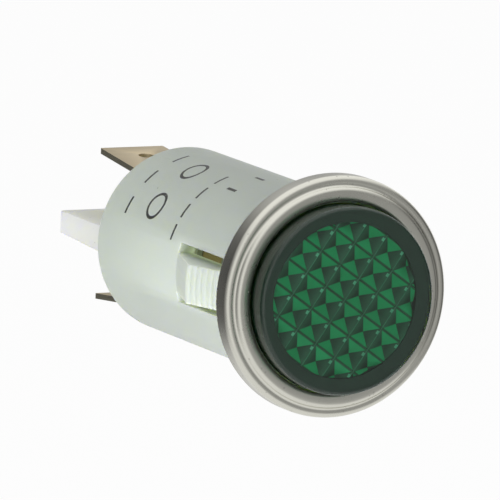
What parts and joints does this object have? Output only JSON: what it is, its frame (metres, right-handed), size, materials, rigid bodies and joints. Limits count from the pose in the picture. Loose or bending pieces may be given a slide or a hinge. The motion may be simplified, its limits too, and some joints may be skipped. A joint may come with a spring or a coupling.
{
  "type": "panel pilot light",
  "caption": "Round snap-in panel indicator lamp: drawn metal bezel, faceted green lens, nylon barrel with flexing side catches, neon lamp and push-on tabs parted by a barrier.",
  "frame": {"origin": "on the barrel's axis, in the plane of the bezel's rear face, which is the face of the panel it is pushed into", "axes": "+Y along the barrel's axis towards the tabs, so the lens faces -Y; the upper tab is at +Z and the snap arms at +X and -X"},
  "size_m": [0.0218, 0.0472, 0.0218],
  "materials": {
    "bezel_steel": "drawn stainless sheet, satin, lightly pitted",
    "green_lens": "clear green moulding, glossy face",
    "nylon": "natural nylon, semi-matt, slightly greenish",
    "white_nylon": "white moulding, semi-matt",
    "brass_strip": "stamped strip, dull",
    "lamp_glass": "clear drawn glass",
    "nickel": "nickel, plain",
    "lead_wire": "copper-clad wire",
    "sleeving": "plastic tube",
    "resistor_ceramic": "lacquered ceramic rod",
    "tinned_wire": "tinned copper wire",
    "solder": "soft solder, smooth"
  },
  "bodies": {
    "root": {"bezel": "bezel_steel", "lens": "green_lens", "housing": "nylon", "terminal_block": "white_nylon", "terminal_upper": "brass_strip", "terminal_lower": "brass_strip", "lamp_envelope": "lamp_glass", "electrode_left": "nickel", "electrode_right": "nickel", "lamp_lead_left": "lead_wire", "lamp_lead_right": "lead_wire", "insulating_sleeve": "sleeving", "splice_ferrule": "brass_strip", "resistor_body": "resistor_ceramic", "resistor_cap_front": "nickel", "resistor_cap_rear": "nickel", "resistor_lead_front": "tinned_wire", "resistor_lead_rear": "tinned_wire", "solder_upper": "solder", "solder_lower": "solder"}
  },
  "joints": []
}
